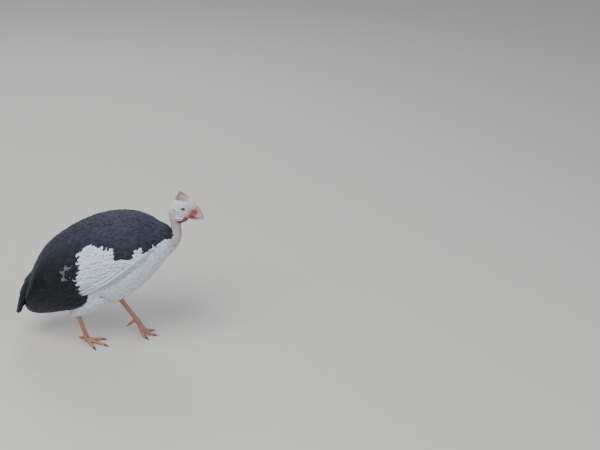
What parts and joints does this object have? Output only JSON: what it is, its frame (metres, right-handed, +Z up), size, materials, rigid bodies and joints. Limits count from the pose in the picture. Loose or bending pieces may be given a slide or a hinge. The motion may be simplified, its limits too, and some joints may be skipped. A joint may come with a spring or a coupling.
{
  "type": "guinea fowl",
  "caption": "Life-size still model of a pied guinea fowl in a walking step, with a horn casque, wattles, folded wings and a drooping tail.",
  "frame": {"origin": "on the floor under the middle of the bounding box, on the plane of the flat soles", "axes": "+X towards the bill, +Y to the bird's left, +Z up"},
  "size_m": [0.3942, 0.1782, 0.3546],
  "materials": {
    "back_feathers": "soft",
    "white_feathers": "soft",
    "face_skin": "matt",
    "wattle_skin": "matt",
    "casque_horn": "matt",
    "bill_horn": "satin",
    "eye": "gloss",
    "leg_skin": "matt",
    "claw_horn": "satin"
  },
  "bodies": {
    "root": {"torso": "back_feathers", "tail": "back_feathers", "neck": "white_feathers", "head": "face_skin", "casque": "casque_horn", "bill_upper": "bill_horn", "bill_lower": "bill_horn", "wing_left": "back_feathers", "eye_left": "eye", "wattle_left": "wattle_skin", "thigh_left": "white_feathers", "shank_left": "leg_skin", "foot_left": "leg_skin", "claw_inner_left": "claw_horn", "claw_middle_left": "claw_horn", "claw_outer_left": "claw_horn", "claw_hind_left": "claw_horn", "wing_right": "back_feathers", "eye_right": "eye", "wattle_right": "wattle_skin", "thigh_right": "white_feathers", "shank_right": "leg_skin", "foot_right": "leg_skin", "claw_inner_right": "claw_horn", "claw_middle_right": "claw_horn", "claw_outer_right": "claw_horn", "claw_hind_right": "claw_horn"}
  },
  "joints": []
}
